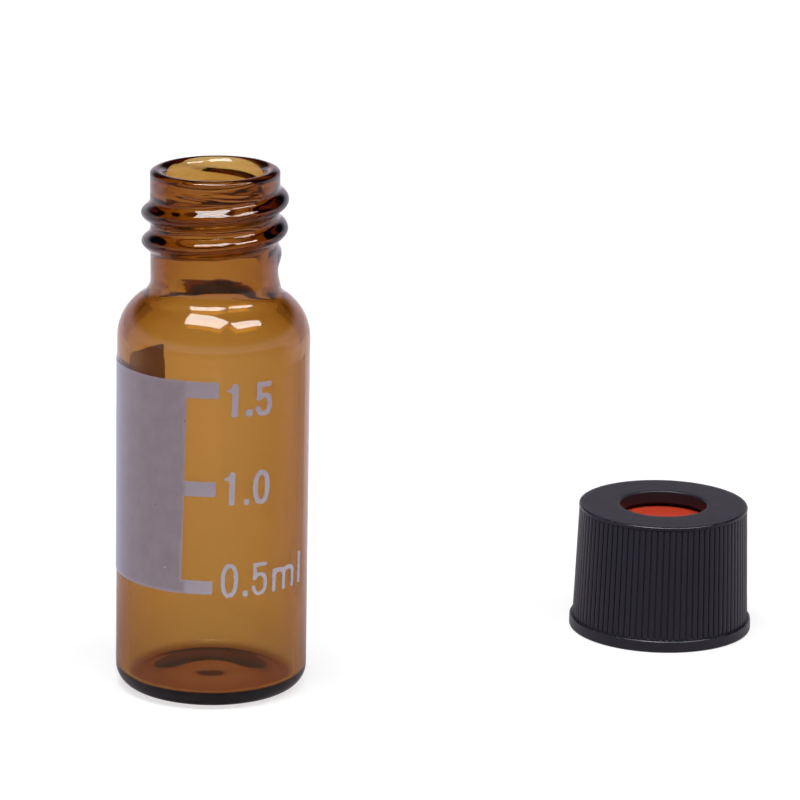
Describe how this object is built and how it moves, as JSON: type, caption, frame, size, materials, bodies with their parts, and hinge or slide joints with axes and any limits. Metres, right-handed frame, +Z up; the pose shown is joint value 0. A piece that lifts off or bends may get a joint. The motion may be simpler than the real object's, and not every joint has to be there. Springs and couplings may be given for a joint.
{
  "type": "glass sample vial",
  "caption": "Amber glass sample vial with a screw neck and a printed filling scale, with its open-top cap and septum taken off and stood beside it.",
  "frame": {"origin": "centre of the ring that the vial stands on, on the vial's axis, at table level", "axes": "+Z up the vial's axis and out of its mouth; +X towards the cap that stands beside it; -Y towards the printed numbers"},
  "size_m": [0.0395, 0.024, 0.0321],
  "materials": {
    "amber_glass": "clear amber glass, gloss",
    "fired_ink": "matt fired enamel print",
    "cap_plastic": "moulded, fine ribs",
    "silicone": "smooth, satin",
    "fluoropolymer": "smooth, waxy"
  },
  "bodies": {
    "root": {"glass_vial": "amber_glass", "ink_print": "fired_ink", "screw_cap": "cap_plastic", "septum_rubber": "silicone", "septum_film": "fluoropolymer"}
  },
  "joints": []
}
